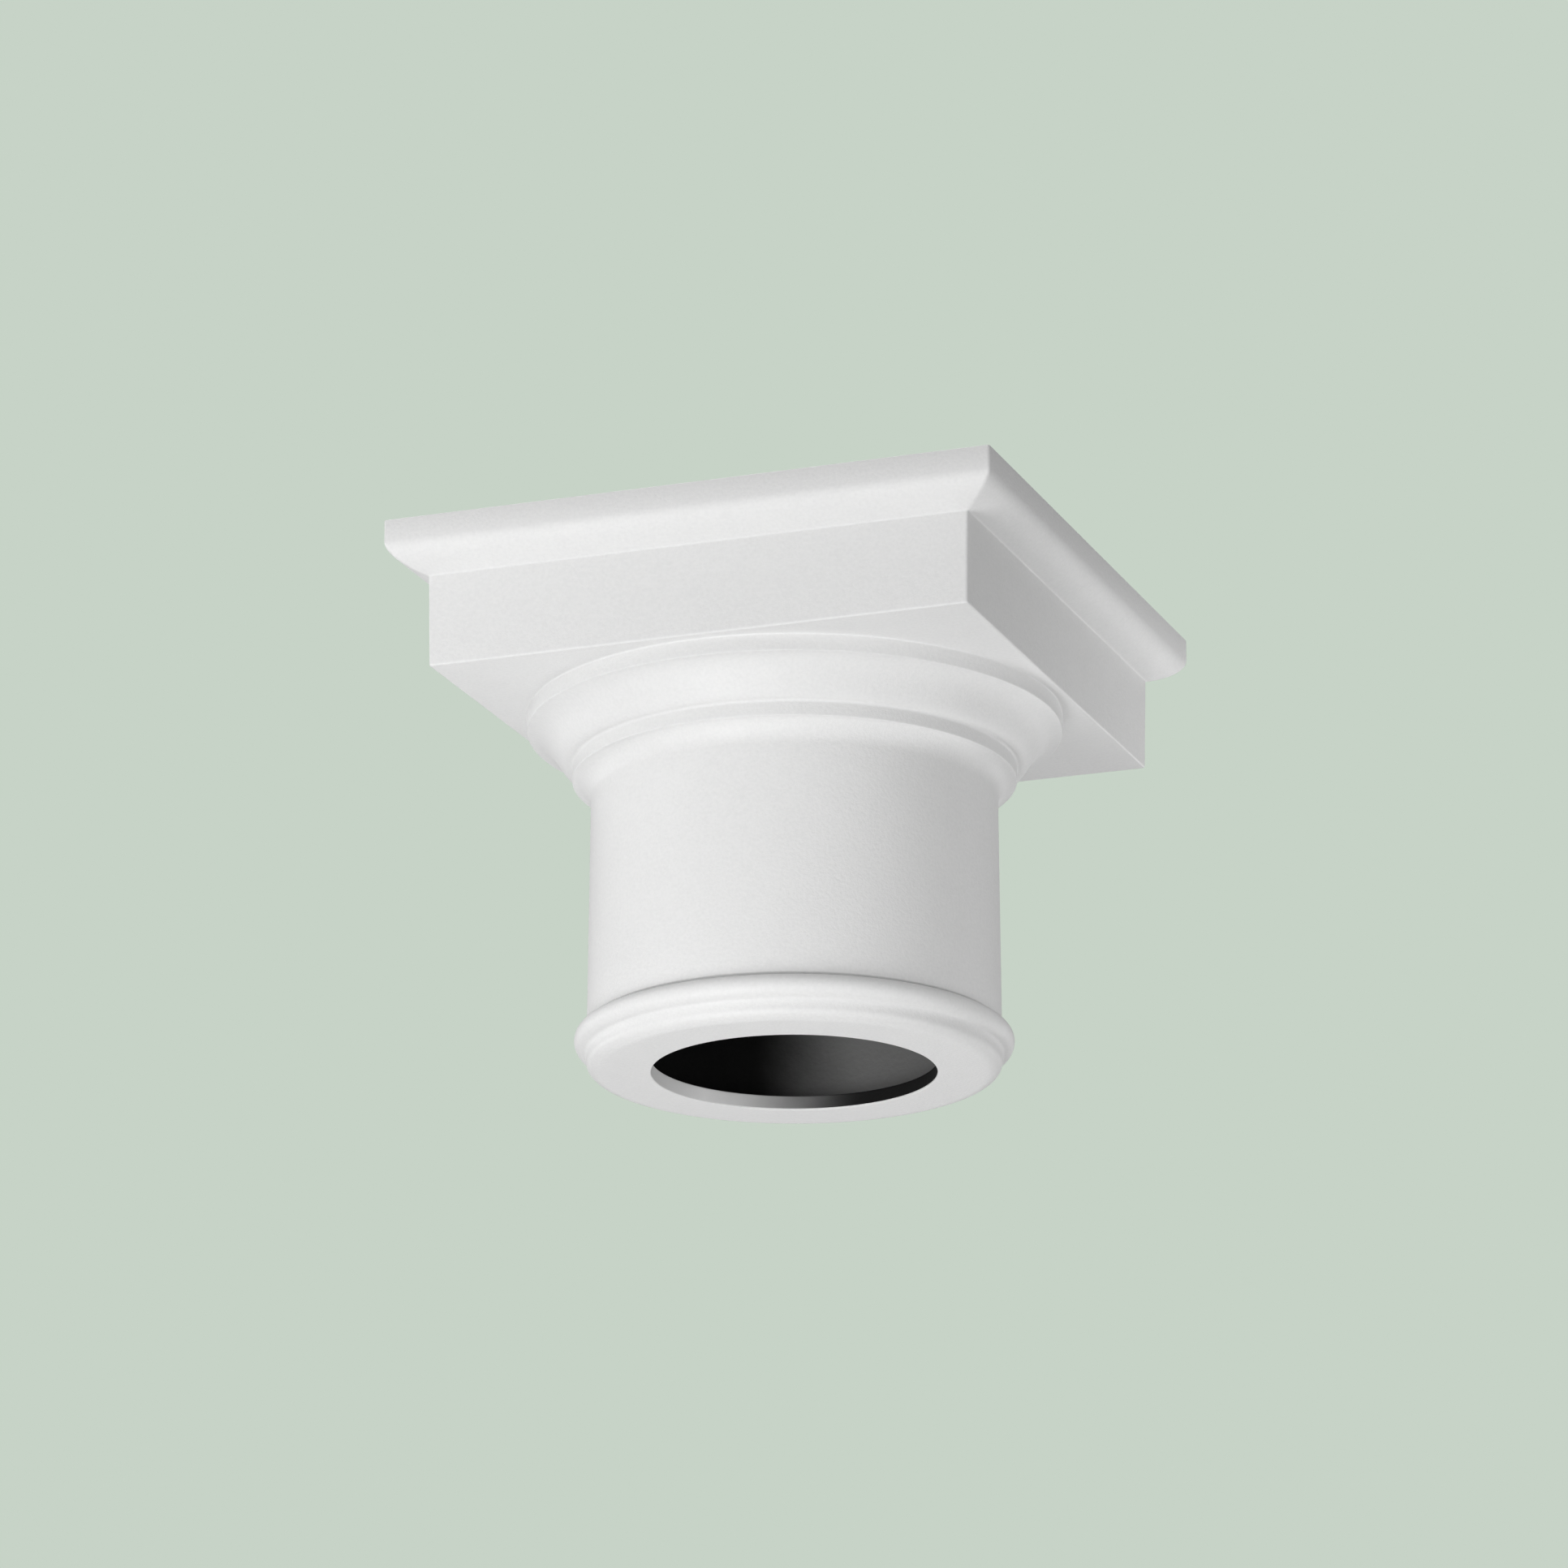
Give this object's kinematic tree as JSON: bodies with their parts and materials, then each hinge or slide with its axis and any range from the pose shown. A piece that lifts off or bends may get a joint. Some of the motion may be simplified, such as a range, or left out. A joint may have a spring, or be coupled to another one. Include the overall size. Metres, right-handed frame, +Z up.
{
  "type": "column capital",
  "caption": "Hollow round-post capital: square moulded abacus with a plain fascia over a turned echinus, plain neck and astragal, open through the middle",
  "frame": {"origin": "centre of the flat round underside, where the capital sits on its column shaft", "axes": "+Z up along the column's axis; the four sides of the abacus face +X, -X, +Y and -Y, and -Y is the front"},
  "size_m": [0.338, 0.338, 0.2753],
  "materials": {
    "white_primer": "smooth white primer with a soft sheen on rigid moulded foam"
  },
  "bodies": {
    "root": {"capital": "white_primer"}
  },
  "joints": []
}
